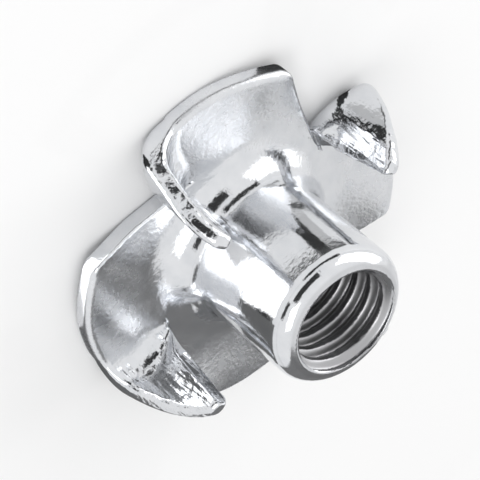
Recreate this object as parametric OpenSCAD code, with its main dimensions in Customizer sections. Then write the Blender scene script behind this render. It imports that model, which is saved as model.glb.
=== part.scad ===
// Four-prong tee nut, pressed from one blank of sheet steel.
// The drawn barrel stands along +Z on a flange whose back face lies at z = 0.
// Each lobe of the flange is square to the next. One end of a lobe is folded up into a hollow prong,
// and the other end stops at a straight cut beside the next lobe's prong, so the flange is a pinwheel.

/* [Sheet] */
// Thickness of the sheet in the flange and the prongs
sheet_t = 1; // [0.8:0.05:1.2]
// Rounding along the outer rim of the flange
edge_r = 0.2; // [0.05:0.05:0.35]

/* [Flange] */
// Diameter across the round rims of the lobes
flange_d = 19; // [17:0.5:23]
// Distance from the axis to the straight cut beside each prong
cut_offset = 5.5; // [5.3:0.1:6.5]

/* [Prongs] */
// Distance from the axis to the outermost face of each fold
prong_offset = 3.5; // [3:0.1:4.2]
// Height of the prong tips above the back face
prong_h = 6.2; // [5:0.1:7.8]
// Angle that each prong leans outward from the axis
prong_lean = 2; // [0:1:10]
// Outside radius that each prong is hollowed to, about a line square to the flange
hollow_r = 5.3; // [4:0.1:8]
// Distance from the straight cut to that line
hollow_offset = 2.2; // [1.5:0.1:3]
// Inside radius of the fold
fold_r = 0.6; // [0.3:0.1:1.2]
// Radius of the round outer edge of a prong, in side view
prong_edge_r = 8; // [7:0.1:10]
// Width of the blunt tip
tip_w = 0.5; // [0.2:0.1:0.9]

/* [Barrel] */
// Outside diameter of the barrel
barrel_d = 7.6; // [7.2:0.1:9.2]
// Height of the nut from the back face to the mouth of the barrel
nut_h = 9.2; // [7.5:0.1:14]
// Radius between the barrel and the front of the flange
root_r = 1.6; // [0.8:0.1:1.6]
// Rounding of the barrel's outer lip
lip_r = 0.8; // [0.2:0.05:0.9]

/* [Bore] */
// Diameter of the tapped bore at the crests of its thread
bore_d = 5.1; // [4.9:0.05:5.3]
// Depth of the chamfer that leads into the thread at the mouth
mouth_chamfer = 0.35; // [0.2:0.05:0.5]
// Diameter of the plain throat behind the thread
throat_d = 6.2; // [5.8:0.1:6.6]
// Depth of the plain throat from the back face
throat_depth = 1.9; // [1.6:0.1:2.5]
// Radius that the back face is drawn over into the throat
draw_r = 0.95; // [0.5:0.05:1.1]

/* [Hidden] */
$fn = 96;
zinc = [0.77, 0.79, 0.82];
lobes = 4;
lobe_step = 360 / lobes;

flange_r = flange_d / 2;
barrel_r = barrel_d / 2;
bore_r = bore_d / 2;
throat_r = throat_d / 2;
throat_run = throat_r - bore_r; // the throat closes to the thread at 45 degrees

past = 1; // how far a cutting shape runs past what it cuts
reach = flange_r + past;

// A fold and its prong are a piece of the wall of a cup, which stands on the lobe.
fold_outer_r = fold_r + sheet_t;
cup_x = hollow_r - prong_offset;
cup_y = cut_offset + hollow_offset;
cup_floor_r = hollow_r - fold_outer_r;

// Where the floor of the cup meets the round rim of the lobe: the fold starts here.
cup_span = norm([cup_x, cup_y]);
rim_along = (pow(flange_r, 2) - pow(cup_floor_r, 2) + pow(cup_span, 2)) / (2 * cup_span);
rim_aside = sqrt(pow(flange_r, 2) - pow(rim_along, 2));
rim_y = (rim_along * cup_y + rim_aside * cup_x) / cup_span;

// Side view of a prong, in Y and Z. Its round edge springs from the back of the rim.
edge_cy = rim_y - prong_edge_r;
tip_y = edge_cy + sqrt(pow(prong_edge_r, 2) - pow(prong_h, 2));

// Section of the sheet, lying along +X with its back face on y = 0 and its far edge rounded.
module sheet_section(length) {
    square([length - edge_r, sheet_t]);
    translate([length - edge_r, edge_r]) square([edge_r, sheet_t - 2 * edge_r]);
    for (y = [edge_r, sheet_t - edge_r])
        translate([length - edge_r, y]) circle(edge_r);
}

// Corner of the blank, beyond the straight cut and the start of the fold, that the prong is made from.
module folded_corner() {
    difference() {
        translate([-reach, cut_offset]) square([reach + cup_x, reach]);
        translate([cup_x, cup_y]) circle(cup_floor_r);
    }
}

// Half section of the root radius, where the sheet of the flange is drawn up into the barrel.
module root_section() {
    root_foot = barrel_r + root_r;
    difference() {
        square([root_foot, sheet_t + root_r]);
        translate([root_foot, sheet_t + root_r]) circle(root_r);
    }
}

module flange() {
    difference() {
        rotate_extrude() {
            sheet_section(flange_r);
            root_section();
        }
        for (i = [0 : lobes - 1])
            rotate([0, 0, i * lobe_step])
                translate([0, 0, -past])
                    linear_extrude(sheet_t + root_r + 2 * past) folded_corner();
    }
}

// All of a plane on the +Y side of its X axis, as far as the nut reaches.
module half_plane() {
    translate([-reach, 0]) square([2 * reach, reach]);
}

// Half section of the cup's wall: the fold up from the floor, then the leaning wall.
module cup_section() {
    translate([cup_floor_r, fold_outer_r]) {
        difference() {
            circle(fold_outer_r);
            circle(fold_r);
            rotate(90) half_plane();
            rotate(-prong_lean) half_plane();
        }
        rotate(-prong_lean) translate([fold_r, 0]) square([sheet_t, prong_h]);
    }
}

// Side view that a fold and its prong are trimmed to: a straight edge at the cut, a round outer edge
// and a blunt tip.
module prong_outline() {
    intersection() {
        translate([edge_cy, 0]) circle(prong_edge_r);
        polygon([
            [cut_offset, -past],
            [cut_offset, fold_outer_r],
            [tip_y - tip_w, prong_h],
            [reach, prong_h],
            [reach, -past]
        ]);
    }
}

module prong() {
    intersection() {
        translate([cup_x, cup_y, 0])
            rotate([0, 0, 90]) rotate_extrude(angle = 180) cup_section();
        translate([-reach, 0, 0])
            rotate([90, 0, 90]) linear_extrude(reach + cup_x) prong_outline();
    }
}

// Half section of the barrel, solid to the axis, with its rounded lip.
module barrel_section() {
    square([barrel_r - lip_r, nut_h]);
    square([barrel_r, nut_h - lip_r]);
    translate([barrel_r - lip_r, nut_h - lip_r]) circle(lip_r);
}

// Half section of the passage: drawn entry, plain throat, tapped bore and mouth chamfer.
module passage_section() {
    translate([0, -past]) square([bore_r, nut_h + 2 * past]);
    polygon([
        [0, -past],
        [throat_r, -past],
        [throat_r, throat_depth],
        [bore_r, throat_depth + throat_run],
        [0, throat_depth + throat_run]
    ]);
    polygon([
        [0, nut_h - mouth_chamfer],
        [bore_r, nut_h - mouth_chamfer],
        [bore_r + mouth_chamfer + past, nut_h + past],
        [0, nut_h + past]
    ]);
    difference() {
        translate([0, -past]) square([throat_r + draw_r, past + draw_r]);
        translate([throat_r + draw_r, draw_r]) circle(draw_r);
    }
}

module tee_nut() {
    color(zinc)
        difference() {
            union() {
                flange();
                for (i = [0 : lobes - 1])
                    rotate([0, 0, i * lobe_step]) prong();
                rotate_extrude() barrel_section();
            }
            rotate_extrude() passage_section();
        }
}

tee_nut();
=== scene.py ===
"""Looks of the tee nut: one pressed, zinc-plated piece, its tapped bore, a plain floor and a soft studio.

The steel is modelled as a signed field in millimetres, in the part's own frame: negative inside the
metal, with the folds, the hollow prongs, the rolled edges and the helix of the thread in it. A net is
drawn over its zero level and set on it exactly, and the field's own slope gives the smooth normals.
"""

import math

import bpy
import numpy as np
from mathutils import Matrix, Vector


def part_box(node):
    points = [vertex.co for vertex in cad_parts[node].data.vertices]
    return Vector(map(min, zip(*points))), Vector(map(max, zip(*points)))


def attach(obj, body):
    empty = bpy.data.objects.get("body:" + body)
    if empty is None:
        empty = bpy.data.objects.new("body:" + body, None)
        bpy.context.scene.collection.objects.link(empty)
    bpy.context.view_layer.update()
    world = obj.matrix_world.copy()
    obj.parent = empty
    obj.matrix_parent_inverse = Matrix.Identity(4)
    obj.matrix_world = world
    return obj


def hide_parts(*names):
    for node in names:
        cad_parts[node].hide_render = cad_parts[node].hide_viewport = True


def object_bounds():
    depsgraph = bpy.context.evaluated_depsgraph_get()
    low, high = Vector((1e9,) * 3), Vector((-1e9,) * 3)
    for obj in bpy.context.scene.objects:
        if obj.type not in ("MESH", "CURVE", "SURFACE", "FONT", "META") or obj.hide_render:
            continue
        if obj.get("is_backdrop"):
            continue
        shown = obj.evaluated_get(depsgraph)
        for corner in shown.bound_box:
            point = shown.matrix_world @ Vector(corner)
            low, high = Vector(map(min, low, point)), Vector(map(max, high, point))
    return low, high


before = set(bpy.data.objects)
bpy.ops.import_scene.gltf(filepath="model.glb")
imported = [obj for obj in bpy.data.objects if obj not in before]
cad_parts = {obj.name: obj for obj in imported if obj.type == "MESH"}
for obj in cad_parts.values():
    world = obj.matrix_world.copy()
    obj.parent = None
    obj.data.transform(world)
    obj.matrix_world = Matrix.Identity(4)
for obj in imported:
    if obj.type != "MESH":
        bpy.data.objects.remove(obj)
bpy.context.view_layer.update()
MM = 0.001

# The lobes, in millimetres. The flange's radius and the nut's height come from the CAD box.
SHEET = 1.0
CUT = 5.5                   # straight cut to axis
CORNER_R = 0.4              # free corner of each lobe, in plan
CORNER_LIFT = 0.42          # free corner of each lobe, up from the flat
LIFT_ALONG = (0.5, 5.5)     # where the sheet rises to that corner, along the lobe
LIFT_OUT = (4.5, 8.0)       # and away from the axis

# The prongs and their folds, in millimetres.
PRONG_OFFSET = 3.5          # outermost face of a fold to axis
PRONG_H = 6.2
PRONG_LEAN = math.radians(5)
HOLLOW_R = 4.8              # a prong is a piece of the wall of a cup of this radius
HOLLOW_OFFSET = 2.2         # cut to the middle of the cup
PRONG_EDGE_R = 8.0          # round edge of a prong, in side view
TIP_W = 0.5                 # blunt tip of a prong
FOLD_R_NOTCH = 1.4          # outer radius of the fold at the notch and at the rim
FOLD_R_RIM = 1.85
FOLD_R_FROM = CUT - 0.4     # where it starts to grow, away from the axis
FOLD_FILL = 1.4             # radius in the hollow of the fold, where the steel is upset
FILL_OUT = (CUT - 0.5, CUT + 1.5)  # where it grows to that
NOTCH_R = 0.5               # inner end of the slit beside each prong
CURL = 0.7                  # how far the cut side of a prong is drawn in
CURL_WIDTH = 2.4            # and how far that reaches from the cut
CURL_RISE = (1.0, 2.6)      # heights between which a prong takes on its curl
EDGE_TURN = 0.6             # most that a prong's edges turn with its hollow, as a sine

# The barrel and the way through it, in millimetres.
BARREL_R = 3.8
ROOT_R = 2.0
LIP_R = 1.05
THROAT_R = 3.1
THROAT_DEPTH = 1.9
DRAW_R = 0.95               # from the back face into the throat
CREST_R = 2.55
PITCH = 1.0
THREAD_DEPTH = 0.4
THREAD_FLANK = (0.12, 0.42)  # crest to root of the thread, in pitches from the middle of the crest
THREAD_START = 0.5          # height over which the thread gains its depth above the throat
MOUTH_CHAMFER = 0.35

# Rounding of the edges, in millimetres.
PRONG_ROUND = 0.38          # round edge of a prong
TIP_ROUND = 0.25            # blunt tip of a prong, in side view
SIDE_ROUND = 0.12           # sheared cuts
RIM_ROUND = 0.4             # round rims of the lobes, front and back
BACK_ROUND = 0.2
PASSAGE_ROUND = 0.06        # where the passage comes out of the metal
EDGE_TO_RIM = (-0.5, 1.5)   # along the lobe from a prong's foot, where its rounding turns into the rim's
CUT_TO_RIM = (-0.3, 0.3)    # depth in from the cut less that from the rim, where one turns into the other

# Where the zinc is told of a fold and of the bore, in millimetres.
FOLD_FADE = (-0.8, 0.6)     # into the folded corner, in plan
WALL_FADE = 0.2             # outward from the throat's wall
THROAT_FADE = (0.3, 1.3)    # heights at the throat
MOUTH_FADE = (-0.3, 0.1)    # heights from the mouth

# The net, in millimetres.
GRID = 0.118
MARGIN = 0.35               # from the nut to the edge of the grid
FIELD_STEP = 0.004          # how far to each side of a point the field's slope is taken
NORMAL_STEP = 0.02          # the same for the normals, which are smoother for it
SETTLE_ROUNDS = 4
SETTLE_REACH = 0.6          # most that a point moves in one round, in grid steps
LEAST_SLOPE = 0.05          # least square of the slope that a move is worked out with
TINY = 1e-9


def round_union(a, b, r):
    """Union of two fields, with a fillet of radius r in the corner between them."""
    return np.maximum(r, np.minimum(a, b)) - np.hypot(np.maximum(r - a, 0), np.maximum(r - b, 0))


def round_cut(a, b, r):
    """What two fields share, with its edge rounded to radius r."""
    return np.minimum(-r, np.maximum(a, b)) + np.hypot(np.maximum(r + a, 0), np.maximum(r + b, 0))


def smoothstep(low, high, t):
    """0 up to low, 1 from high on, and a smooth rise between them."""
    s = np.clip((t - low) / (high - low), 0, 1)
    return s * s * (3 - 2 * s)


def quarter_turns(x, y):
    """The same points as each of the four lobes has them, from the lobe on the +Y side."""
    return (x, y), (y, -x), (-x, -y), (-y, x)


class Nut:
    """The field of the whole nut, for a flange of radius flange_r and a height of top."""

    def __init__(self, flange_r, top):
        self.flange_r = flange_r
        self.top = top
        self.cup_x = HOLLOW_R - PRONG_OFFSET
        self.cup_y = CUT + HOLLOW_OFFSET
        self.rim_x, self.rim_y = self.rim_point(HOLLOW_R - FOLD_R_RIM)
        self.edge_cy = self.rim_y - PRONG_EDGE_R
        self.tip_y = self.edge_cy + math.sqrt(PRONG_EDGE_R**2 - PRONG_H**2)

    def __call__(self, p):
        """The field at points whose last axis holds X, Y and Z."""
        x, y, z = p[..., 0], p[..., 1], p[..., 2]
        solid = round_cut(self.steel(x, y, z), -self.hole(x, y, z), PASSAGE_ROUND)
        # The back face is drawn over a radius into the throat.
        entry_out = THROAT_R + DRAW_R - np.hypot(x, y)
        entry_up = DRAW_R - z
        entry = np.hypot(entry_out, entry_up) - DRAW_R
        return np.where((entry_out > 0) & (entry_up > 0), np.maximum(solid, entry), solid)

    def rim_point(self, floor_r):
        """Where the floor of the cup meets the round rim of the lobe."""
        span = math.hypot(self.cup_x, self.cup_y)
        along = (self.flange_r**2 - floor_r**2 + span**2) / (2 * span)
        aside = math.sqrt(self.flange_r**2 - along**2)
        return ((along * self.cup_x - aside * self.cup_y) / span,
                (along * self.cup_y + aside * self.cup_x) / span)

    def lift(self, x, y):
        """How far the sheet rises at a lobe's free corner, which the press leaves a little proud."""
        return CORNER_LIFT * smoothstep(*LIFT_ALONG, x) * smoothstep(*LIFT_OUT, y)

    def fold_r(self, y):
        """Outer radius of the fold, which grows from the notch to the rim."""
        share = smoothstep(FOLD_R_FROM, self.flange_r, y)
        return FOLD_R_NOTCH + (FOLD_R_RIM - FOLD_R_NOTCH) * share

    def cut_side(self, y, z):
        """Side view of the straight cut, which becomes the edge of the prong next to the barrel."""
        slope = math.atan2(self.tip_y - TIP_W - CUT, PRONG_H - FOLD_R_NOTCH)
        return np.maximum(CUT - y, (CUT - y) * math.cos(slope) + (z - FOLD_R_NOTCH) * math.sin(slope))

    def round_side(self, x, y, z):
        """Side view of a prong's round edge and blunt tip. At its foot it runs on into the lobe's rim."""
        spring = y - np.maximum(x - self.rim_x, 0) * (-self.rim_x / self.rim_y)
        round_edge = np.hypot(spring - self.edge_cy, np.maximum(z, 0)) - PRONG_EDGE_R
        rim = np.hypot(np.maximum(x, self.rim_x), y) - self.flange_r
        return np.maximum(round_cut(round_edge, z - PRONG_H, TIP_ROUND), rim)

    def prong(self, x, y, z):
        """One fold and its prong: a piece of the wall of a cup, trimmed to the prong's side view."""
        fold_r = self.fold_r(y)
        rise = smoothstep(*CURL_RISE, z)
        out = np.hypot(x - self.cup_x, y - self.cup_y) - (HOLLOW_R - fold_r)
        slit = round_union(self.cut_side(y, z), out, NOTCH_R)
        near = rise * np.clip(1 + self.cut_side(y, z) / CURL_WIDTH, 0, 1)
        steep = 2 * CURL / CURL_WIDTH * near
        out = out + CURL * near**2
        up = z - fold_r
        across = out * math.cos(PRONG_LEAN) - up * math.sin(PRONG_LEAN)
        along = up * math.cos(PRONG_LEAN) + out * math.sin(PRONG_LEAN)
        reached = np.where(along > 0, across, np.hypot(out, up))
        outer = np.where((along > 0) | (out > 0), (reached - fold_r) / np.hypot(1, steep), -z)
        inner = (fold_r - SHEET - across) / np.hypot(1, steep)
        fill = FOLD_FILL * smoothstep(*FILL_OUT, y)
        sheet = np.maximum(outer, round_union(z - SHEET, inner, fill))

        # The edges are square to the sheet, so they turn with it.
        hollow = np.clip((self.cup_y - y) / HOLLOW_R, -EDGE_TURN, EDGE_TURN)
        turn = rise * (hollow + np.sqrt(1 - hollow**2) * steep) / np.hypot(1, steep)
        depth = np.clip(fold_r - reached, 0, SHEET)
        y = y - depth * turn
        slit = np.where(out > 0, np.maximum(slit, self.cut_side(y, z)), slit)
        rounding = PRONG_ROUND + (RIM_ROUND - PRONG_ROUND) * smoothstep(*EDGE_TO_RIM, x - self.rim_x)
        trimmed = round_cut(sheet, self.round_side(x, y, z), rounding)
        return np.maximum(round_cut(trimmed, slit, SIDE_ROUND), x - self.cup_x)

    def corner(self, x, y):
        """Plan of the corner of the blank that is folded up, negative inside it."""
        floor_r = HOLLOW_R - self.fold_r(y)
        beyond = floor_r - np.hypot(x - self.cup_x, y - self.cup_y)
        return np.maximum(np.maximum(CUT - y, x - self.cup_x), beyond)

    def steel(self, x, y, z):
        """Flange, prongs and barrel, before the passage through them."""
        radius = np.hypot(x, y)
        plan = radius - self.flange_r
        raised = np.zeros_like(z)
        cut = np.full_like(z, -self.flange_r)
        for turned in quarter_turns(x, y):
            raised = np.maximum(raised, self.lift(*turned))
            cut = np.maximum(cut, -self.corner(*turned))
        z = z - raised
        rounding = SIDE_ROUND + (RIM_ROUND - SIDE_ROUND) * smoothstep(*CUT_TO_RIM, plan - cut)
        plan = round_cut(plan, cut, CORNER_R)
        body = round_union(radius - BARREL_R, z - SHEET, ROOT_R)
        body = round_cut(body, plan, rounding)
        body = round_cut(body, -z, BACK_ROUND)
        body = round_cut(body, z - self.top, LIP_R)
        for turned in quarter_turns(x, y):
            body = np.minimum(body, self.prong(*turned, z))
        return body

    def hole(self, x, y, z):
        """The way through, negative in the air: plain throat, right-hand thread and mouth chamfer."""
        radius = np.hypot(x, y)
        turns = np.arctan2(y, x) / (2 * math.pi)
        axial = ((z / PITCH - turns) % 1.0 - 0.5) * PITCH
        flank_start, flank_end = THREAD_FLANK
        ridge = THREAD_DEPTH * smoothstep(flank_start * PITCH, flank_end * PITCH, np.abs(axial))
        bore = radius - CREST_R - ridge * smoothstep(THROAT_DEPTH, THROAT_DEPTH + THREAD_START, z)
        throat = np.maximum(radius - THROAT_R, radius + z - THROAT_R - THROAT_DEPTH)
        mouth = (radius - CREST_R - (z - self.top + MOUTH_CHAMFER)) / math.sqrt(2)
        return np.minimum(np.minimum(bore, throat), mouth)

    def fold_share(self, p):
        """1 on the folds and the prongs, falling to 0 on the flat of the lobes."""
        nearest = np.min([self.corner(*turned) for turned in quarter_turns(p[:, 0], p[:, 1])], 0)
        return smoothstep(*FOLD_FADE, -nearest)

    def bore_share(self, p):
        """1 down in the bore, falling to 0 at its mouth and at the throat's entry. It makes the bore rougher
        and darkens its colour with painted shade.
        """
        z = p[:, 2]
        inside = 1 - smoothstep(THROAT_R, THROAT_R + WALL_FADE, np.hypot(p[:, 0], p[:, 1]))
        below_mouth = 1 - smoothstep(self.top + MOUTH_FADE[0], self.top + MOUTH_FADE[1], z)
        return inside * smoothstep(*THROAT_FADE, z) * below_mouth


CELL_CORNERS = [(i, j, k) for i in (0, 1) for j in (0, 1) for k in (0, 1)]


def grid_axis(low, high, step):
    """Places one step apart, from low to high or just past it."""
    return low + step * np.arange(int(math.ceil((high - low) / step)) + 1)


def sampled(field, axes):
    """Values of a field on a grid, taken slice by slice to spare memory."""
    values = np.empty([len(places) for places in axes])
    for i, x in enumerate(axes[0]):
        y, z = np.meshgrid(axes[1], axes[2], indexing="ij")
        values[i] = field(np.stack([np.full_like(y, x), y, z], -1))
    return values


def crossed_cells(inside):
    """The grid cells that the surface runs through, and a grid that gives the number of each."""
    shape = [n - 1 for n in inside.shape]
    count = np.zeros(shape, np.int8)
    for corner in CELL_CORNERS:
        count += inside[tuple(slice(start, start + n) for start, n in zip(corner, shape))]
    cells = np.argwhere((count > 0) & (count < len(CELL_CORNERS)))
    number = np.full(shape, -1, np.int64)
    number[tuple(cells.T)] = np.arange(len(cells))
    return cells, number


def cell_points(values, cells):
    """One point for each cell, in grid steps: the mean of where the level crosses its edges."""
    total = np.zeros((len(cells), 3))
    hits = np.zeros(len(cells))
    for start in CELL_CORNERS:
        for axis in range(3):
            if start[axis] == 1:
                continue
            end = tuple(1 if n == axis else v for n, v in enumerate(start))
            at_start = values[tuple((cells + start).T)]
            at_end = values[tuple((cells + end).T)]
            crossed = (at_start < 0) != (at_end < 0)
            share = np.where(crossed, at_start / np.where(crossed, at_start - at_end, 1), 0)
            point = np.array(start, float)[None, :].repeat(len(cells), 0)
            point[:, axis] += share
            total += point * crossed[:, None]
            hits += crossed
    return cells + total / hits[:, None]


def net_quads(inside, number):
    """A quad round each grid edge that the surface crosses, between the points of the four cells there."""
    quads = []
    for axis in range(3):
        beside, above = np.zeros((2, 3), int)
        beside[(axis + 1) % 3] = 1
        above[(axis + 2) % 3] = 1
        edges = np.argwhere(np.diff(inside, axis=axis))
        ring = [number[tuple((edges - back).T)] for back in (beside + above, above, 0, beside)]
        quad = np.stack(ring, -1)
        starts_inside = inside[tuple(edges.T)]
        quads.append(np.where(starts_inside[:, None], quad, quad[:, ::-1]))
    return np.concatenate(quads)


def net(field, low, high, step):
    """A quad net over the zero level of a field. The box from low to high has to clear the level."""
    axes = [grid_axis(a, b, step) for a, b in zip(low, high)]
    values = sampled(field, axes)
    inside = values < 0
    cells, number = crossed_cells(inside)
    points = np.array([places[0] for places in axes]) + step * cell_points(values, cells)
    return points, net_quads(inside, number)


def slope(field, p, h):
    """How fast the field changes along X, Y and Z, from its values h to each side of the points."""
    gradient = np.empty_like(p)
    for axis in range(3):
        offset = np.zeros(3)
        offset[axis] = h
        gradient[:, axis] = (field(p + offset) - field(p - offset)) / (2 * h)
    return gradient


def settle(field, p, step):
    """Moves points onto the zero level along its slope, and gives the unit normals there."""
    for _ in range(SETTLE_ROUNDS):
        g = slope(field, p, FIELD_STEP)
        move = field(p)[:, None] * g / np.maximum((g * g).sum(1), LEAST_SLOPE)[:, None]
        length = np.linalg.norm(move, axis=1, keepdims=True)
        p = p - move * np.minimum(1, SETTLE_REACH * step / np.maximum(length, TINY))
    g = slope(field, p, NORMAL_STEP)
    return p, g / np.maximum(np.linalg.norm(g, axis=1, keepdims=True), TINY)


def build_nut():
    """The nut as one smooth mesh. Each point carries its share of the folds and of the bore."""
    low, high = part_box("tee_nut")
    flange_r = (high.x - low.x) / 2 / MM
    top = high.z / MM
    field = Nut(flange_r, top)
    edge = flange_r + MARGIN
    points, quads = net(field, (-edge, -edge, -MARGIN), (edge, edge, top + MARGIN), GRID)
    points, normals = settle(field, points, GRID)

    mesh = bpy.data.meshes.new("pressed_nut")
    mesh.from_pydata((points * MM).tolist(), [], quads.tolist())
    mesh.update()
    mesh.polygons.foreach_set("use_smooth", [True] * len(mesh.polygons))
    mesh.normals_split_custom_set_from_vertices(normals.tolist())
    for name, share in (("fold", field.fold_share(points)), ("bore", field.bore_share(points))):
        mesh.attributes.new(name, "FLOAT", "POINT").data.foreach_set("value", share)
    made = bpy.data.objects.new("pressed_nut", mesh)
    bpy.context.scene.collection.objects.link(made)
    return made


# The zinc: the size of each mark on the steel and the depth of its bump, in millimetres.
RIPPLE_SIZE, RIPPLE_DEPTH = 0.22, 0.016
LUMP_SIZE, LUMP_DEPTH = 1.0, 0.08
PRONG_LINE_SIZE, PRONG_LINE_DEPTH = 0.35, 0.055
BACK_LINE_SIZE, BACK_LINE_DEPTH = 0.3, 0.03
LINE_PACE = 0.15            # how fast the lines change along their length, to 1 across them
BACK_LINE_R = 6             # radius at which the lines on the back are of their stated size
BACK_FADE = (0.1, 0.5)      # heights over which they fade out
BARREL_RIPPLE = 0.4         # share of the ripple that the barrel has
RIPPLE_FADE = (3.9, 4.8)    # radii over which the rest of it comes in
FLAT_LUMPS = 0.1            # share of the lumps that the flat of the lobes has
FLAT_FADE = (4.4, 6.5)      # radii over which that flat gets its own roughness
TONE_NOISE = (0.35, 0.7)    # noise between which the zinc goes from bright to grey
SHINE_NOISE = (0.3, 0.7)    # noise between which the plate's roughness goes from its least to its most
SHINE_SIZE = 0.6
PLATE_ROUGH = (0.05, 0.12)
BORE_ROUGH = 0.25           # added to that in the bore
FLAT_ROUGH = 0.18           # and on the flat of the lobes
BRIGHT_ZINC = (0.74, 0.75, 0.77)
GREY_ZINC = (0.68, 0.695, 0.72)
# Painted shade: the colour down in the bore, darker where little light reaches.
PAINTED_BORE_SHADE = (0.42, 0.42, 0.43)


class Graph:
    """Short calls for the nodes of one material."""

    def __init__(self, name):
        self.material = bpy.data.materials.new(name)
        self.material.use_nodes = True
        self.nodes = self.material.node_tree.nodes
        self.links = self.material.node_tree.links
        self.shader = self.nodes["Principled BSDF"]

    def node(self, kind, inputs, **settings):
        """A node whose inputs are each a value or another node's output."""
        made = self.nodes.new(kind)
        for key, value in settings.items():
            setattr(made, key, value)
        for key, value in inputs.items():
            if isinstance(value, bpy.types.NodeSocket):
                self.links.new(value, made.inputs[key])
            else:
                made.inputs[key].default_value = value
        return made

    def feed(self, socket, value):
        """Gives the shader's socket of that name another node's output."""
        self.links.new(value, self.shader.inputs[socket])

    def maths(self, operation, a, b):
        return self.node("ShaderNodeMath", {0: a, 1: b}, operation=operation).outputs[0]

    def times(self, a, b):
        return self.maths("MULTIPLY", a, b)

    def rest_of(self, share):
        """What is left of 1."""
        return self.maths("SUBTRACT", 1.0, share)

    def attribute(self, name):
        return self.node("ShaderNodeAttribute", {}, attribute_name=name).outputs["Fac"]

    def place(self):
        """The point on the nut, in metres."""
        return self.node("ShaderNodeTexCoord", {}).outputs["Object"]

    def noise(self, size_mm, detail=3.0, vector=None):
        """Noise whose lumps measure about size_mm on the steel."""
        if vector is None:
            vector = self.place()
        inputs = {"Vector": vector, "Scale": 1 / (size_mm * MM), "Detail": detail}
        return self.node("ShaderNodeTexNoise", inputs).outputs["Fac"]

    def lines(self, across, along, size_mm):
        """Noise drawn out into fine lines: quick along one coordinate and slow along the other."""
        drawn = self.node("ShaderNodeCombineXYZ", {"X": across, "Y": self.times(along, LINE_PACE)})
        return self.noise(size_mm, detail=2.0, vector=drawn.outputs["Vector"])

    def bump(self, height, depth_mm, normal=None):
        inputs = {"Height": height, "Distance": depth_mm * MM}
        if normal is not None:
            inputs["Normal"] = normal
        return self.node("ShaderNodeBump", inputs).outputs["Normal"]

    def spread(self, value, low, high, span=(0.0, 1.0)):
        """Goes from low to high while the value goes through its span, and no further."""
        inputs = {"Value": value, "From Min": span[0], "From Max": span[1], "To Min": low, "To Max": high}
        return self.node("ShaderNodeMapRange", inputs).outputs["Result"]

    def fade(self, length, low, high, span_mm):
        """Goes from low to high while a length goes through a span in millimetres."""
        return self.spread(length, low, high, (span_mm[0] * MM, span_mm[1] * MM))

    def blend(self, share, first, second):
        mix = self.node("ShaderNodeMix", {"Factor": share}, data_type="RGBA")
        for socket, value in (("A_Color", first), ("B_Color", second)):
            entry = next(i for i in mix.inputs if i.identifier == socket)
            if isinstance(value, bpy.types.NodeSocket):
                self.links.new(value, entry)
            else:
                entry.default_value = (*value, 1)
        return next(o for o in mix.outputs if o.identifier == "Result_Color")


def zinc_plate():
    """Bright zinc on drawn sheet, rougher on the flat of the lobes and in the bore, with painted shade
    darkening the colour down in the bore.
    """
    graph = Graph("zinc_plate")
    fold = graph.attribute("fold")
    bore = graph.attribute("bore")
    x, y, z = graph.node("ShaderNodeSeparateXYZ", {0: graph.place()}).outputs
    level = graph.node("ShaderNodeCombineXYZ", {"X": x, "Y": y}).outputs[0]
    radius = graph.node("ShaderNodeVectorMath", {0: level}, operation="LENGTH").outputs["Value"]
    round_axis = graph.times(graph.maths("ARCTAN2", y, x), BACK_LINE_R * MM)
    lump = graph.noise(LUMP_SIZE, detail=2.0)

    # A fine ripple, with none of it in the bore and less on the barrel.
    ripple = graph.times(graph.noise(RIPPLE_SIZE, detail=4.0), graph.rest_of(bore))
    ripple = graph.times(ripple, graph.fade(radius, BARREL_RIPPLE, 1.0, RIPPLE_FADE))
    normal = graph.bump(ripple, RIPPLE_DEPTH)
    # Soft lumps on the folds and prongs, and lines where they and the back face were drawn.
    normal = graph.bump(graph.times(lump, graph.spread(fold, FLAT_LUMPS, 1.0)), LUMP_DEPTH, normal)
    prong_lines = graph.times(graph.lines(radius, z, PRONG_LINE_SIZE), fold)
    normal = graph.bump(prong_lines, PRONG_LINE_DEPTH, normal)
    back_lines = graph.times(graph.lines(round_axis, radius, BACK_LINE_SIZE),
                             graph.fade(z, 1.0, 0.0, BACK_FADE))
    graph.feed("Normal", graph.bump(back_lines, BACK_LINE_DEPTH, normal))

    plate = graph.blend(graph.spread(lump, 0.0, 1.0, TONE_NOISE), BRIGHT_ZINC, GREY_ZINC)
    # Painted shade: the colour darkens down in the bore, where little light reaches.
    graph.feed("Base Color", graph.blend(bore, plate, PAINTED_BORE_SHADE))

    flat = graph.times(graph.fade(radius, 0.0, 1.0, FLAT_FADE), graph.rest_of(fold))
    rough = graph.spread(graph.noise(SHINE_SIZE), *PLATE_ROUGH, SHINE_NOISE)
    rough = graph.maths("ADD", rough, graph.times(bore, BORE_ROUGH))
    graph.feed("Roughness", graph.maths("ADD", rough, graph.times(flat, FLAT_ROUGH)))
    graph.shader.inputs["Metallic"].default_value = 1.0
    return graph.material


def paper(name, shade):
    """Matt card or backdrop paper of one grey."""
    material = bpy.data.materials.new(name)
    material.use_nodes = True
    shader = material.node_tree.nodes["Principled BSDF"]
    shader.inputs["Base Color"].default_value = (shade, shade, shade, 1)
    shader.inputs["Roughness"].default_value = 0.9
    return material


# The camera's bearing and height round the nut and its roll, in degrees, and its lens.
CAM_AZIMUTH, CAM_ELEVATION, CAM_ROLL = -163.29, 38.28, -130.15
CAM_LENS = 265
CAM_DISTANCE = 0.1745       # metres from the middle of the view
CAM_NEAR = 0.005            # metres, well short of the nut
CAM_AIM = (0.46, -0.73)     # middle of the view from the part's origin, to the right and up, in mm


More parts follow.
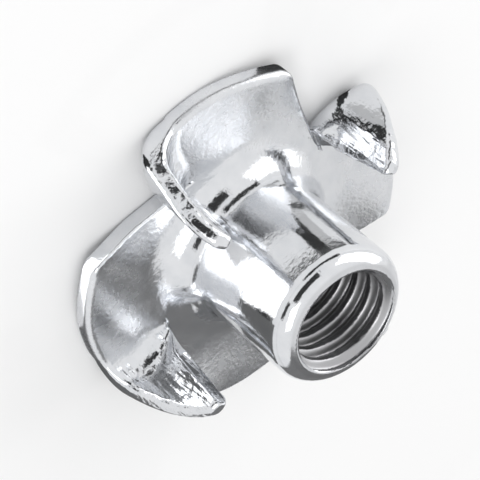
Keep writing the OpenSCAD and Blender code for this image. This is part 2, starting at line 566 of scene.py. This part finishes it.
def camera_axes():
    """Right, up and back of the camera, in the part's frame, from its bearing, height and roll."""
    azimuth, elevation, roll = (math.radians(v) for v in (CAM_AZIMUTH, CAM_ELEVATION, CAM_ROLL))
    back = Vector((math.cos(elevation) * math.cos(azimuth), math.cos(elevation) * math.sin(azimuth),
                   math.sin(elevation)))
    level = Vector((0, 0, 1)).cross(back).normalized()
    upright = back.cross(level)
    up = upright * math.cos(roll) + level * math.sin(roll)
    return up.cross(back), up, back


def facing(origin, target, up):
    """A placement whose -Z looks at the target."""
    z = (origin - target).normalized()
    x = up.cross(z).normalized()
    return Matrix.Translation(origin) @ Matrix((x, z.cross(x), z)).transposed().to_4x4()


def add_camera():
    right, up, back = camera_axes()
    camera = bpy.data.objects.new("camera", bpy.data.cameras.new("camera"))
    bpy.context.scene.collection.objects.link(camera)
    camera.data.lens = CAM_LENS
    camera.data.clip_start = CAM_NEAR
    aim = (right * CAM_AIM[0] + up * CAM_AIM[1]) * MM
    camera.matrix_world = facing(aim + back * CAM_DISTANCE, aim, up)
    bpy.context.scene.camera = camera


# The studio. Bearings are in degrees from +X round the nut, lengths in millimetres and lamps in watts.
PLAIN_WORLD = 0.8           # strength of the world where it lights paper; metal and camera see it at 1
FLOOR_SHADE = 0.93
FLOOR_SIZE = 1.2            # metres
SCREEN_STEPS = 24           # points along the edge of a screen and of a floor card
FLOOR_CARD_STEPS = 12
FLOOR_CARD_HEIGHT = 0.02


def bearing(azimuth, elevation, distance):
    """A point by its bearing and its height, both in degrees, and its distance in millimetres."""
    azimuth, elevation = math.radians(azimuth), math.radians(elevation)
    level = Vector((math.cos(azimuth), math.sin(azimuth), 0)) * math.cos(elevation)
    return (level + Vector((0, 0, math.sin(elevation)))) * distance * MM


def softbox(name, place, target, up, size, power):
    lamp = bpy.data.lights.new(name, "AREA")
    lamp.shape = "RECTANGLE"
    lamp.size = size[0] * MM
    lamp.size_y = size[1] * MM
    lamp.energy = power
    box = bpy.data.objects.new(name, lamp)
    bpy.context.scene.collection.objects.link(box)
    box.matrix_world = facing(place, target, up)
    box.visible_camera = False


def arc(bearings, radius, height, steps):
    """Points round the nut at one radius and one height, from one bearing to another."""
    points = []
    for azimuth in np.linspace(*bearings, steps):
        angle = math.radians(azimuth)
        points.append((math.cos(angle) * radius * MM, math.sin(angle) * radius * MM, height * MM))
    return points


def card(name, one_side, other_side, shade):
    """A card between two rows of points, seen by the metal alone."""
    steps = len(one_side)
    faces = [(i, i + 1, steps + i + 1, steps + i) for i in range(steps - 1)]
    mesh = bpy.data.meshes.new(name)
    mesh.from_pydata(one_side + other_side, [], faces)
    mesh.materials.append(paper(name, shade))
    made = bpy.data.objects.new(name, mesh)
    bpy.context.scene.collection.objects.link(made)
    made.visible_camera = False
    made.visible_shadow = False
    made.visible_diffuse = False
    made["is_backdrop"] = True


def screen(name, bearings, radius, heights, shade):
    """A curved card that stands round the nut, between two bearings and two heights."""
    foot, head = (arc(bearings, radius, height, SCREEN_STEPS) for height in heights)
    card(name, foot, head, shade)


def floor_card(name, bearings, radii, shade):
    """A flat card on the floor beside the nut, between two bearings and two radii. Its grey is painted shade
    on the floor, which the metal alone sees.
    """
    near, far = (arc(bearings, radius, FLOOR_CARD_HEIGHT, FLOOR_CARD_STEPS) for radius in radii)
    card(name, far, near, shade)


def floor():
    bpy.ops.mesh.primitive_plane_add(size=FLOOR_SIZE, location=(0, 0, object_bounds()[0][2]))
    plane = bpy.context.object
    plane.name = "floor"
    plane.data.materials.append(paper("floor_paper", FLOOR_SHADE))
    plane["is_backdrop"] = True


def white_world():
    """White all round, a little weaker where it lights plain paper."""
    world = bpy.data.worlds.new("studio")
    bpy.context.scene.world = world
    world.use_nodes = True
    nodes, links = world.node_tree.nodes, world.node_tree.links
    background = nodes["Background"]
    background.inputs["Color"].default_value = (1, 1, 1, 1)
    path = nodes.new("ShaderNodeLightPath")
    seen = path.outputs["Is Camera Ray"]
    for ray in ("Is Glossy Ray", "Is Transmission Ray"):
        larger = nodes.new("ShaderNodeMath")
        larger.operation = "MAXIMUM"
        links.new(seen, larger.inputs[0])
        links.new(path.outputs[ray], larger.inputs[1])
        seen = larger.outputs[0]
    strength = nodes.new("ShaderNodeMapRange")
    strength.inputs["To Min"].default_value = PLAIN_WORLD
    strength.inputs["To Max"].default_value = 1.0
    links.new(seen, strength.inputs["Value"])
    links.new(strength.outputs["Result"], background.inputs["Strength"])


def softboxes():
    """A broad key and a smaller fill from opposite sides, and a small strip that faces up from the floor."""
    middle, upright = Vector((0, 0, 4 * MM)), Vector((0, 0, 1))
    softbox("key", bearing(98, 28, 200), middle, upright, size=(240, 115), power=0.13)
    softbox("fill", bearing(-107, 49, 200), middle, upright, size=(110, 80), power=0.075)
    low = bearing(-127, 0, 12.8) + Vector((0, 0, 0.3 * MM))
    softbox("low_strip", low, low + upright, low, size=(10, 6.5), power=0.00035)


def screens():
    # Dark close to the floor, to one side of the camera.
    screen("low_surround", bearings=(132, 190), radius=60, heights=(0, 12), shade=0.03)
    # Grey and pale behind the nut, for the tones of the lobes and the folds.
    screen("side_card", bearings=(-40, 18), radius=30, heights=(0, 40), shade=0.2)
    screen("pale_card", bearings=(18, 60), radius=30, heights=(0, 40), shade=0.9)
    # Dark and low on the camera's other side, for the shaded side of the barrel.
    screen("low_card", bearings=(-136, -111), radius=60, heights=(9, 24), shade=0.04)
    # Dark round the camera, which makes the mottled marks at the root of the barrel.
    screen("camera_card", bearings=(168, 222), radius=60, heights=(26, 64), shade=0.03)


# Painted shade and shadow on the floor round the nut, seen by the metal alone in its reflections.
def floor_cards():
    # Painted shade on the floor: a pale wedge with dark borders, for the side of the barrel past its light
    # panel.
    floor_card("wedge_foot", bearings=(104, 143), radii=(8.3, 9.0), shade=0.03)
    floor_card("wedge", bearings=(122, 135), radii=(9.4, 13.5), shade=0.6)
    floor_card("wedge_side", bearings=(135, 151), radii=(8.3, 15), shade=0.02)
    floor_card("wedge_end", bearings=(112, 143), radii=(13.2, 15), shade=0.02)
    # Painted shadow on the floor, as dark lines along one side and along the lip end of that panel.
    floor_card("near_edge", bearings=(199, 208), radii=(9.6, 14.5), shade=0.02)
    floor_card("far_edge", bearings=(149, 208), radii=(13.9, 15.2), shade=0.02)
    # Painted shade: darker floor on the side away from the key.
    floor_card("grey_wedge", bearings=(-98, -38), radii=(9.6, 25), shade=0.14)
    floor_card("tip_edge", bearings=(-110, -98), radii=(11.9, 14.5), shade=0.03)


nut = build_nut()
nut.data.materials.append(zinc_plate())
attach(nut, "root")
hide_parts("tee_nut")
floor()
white_world()
softboxes()
screens()
floor_cards()
add_camera()
bpy.context.scene.view_settings.view_transform = "Standard"
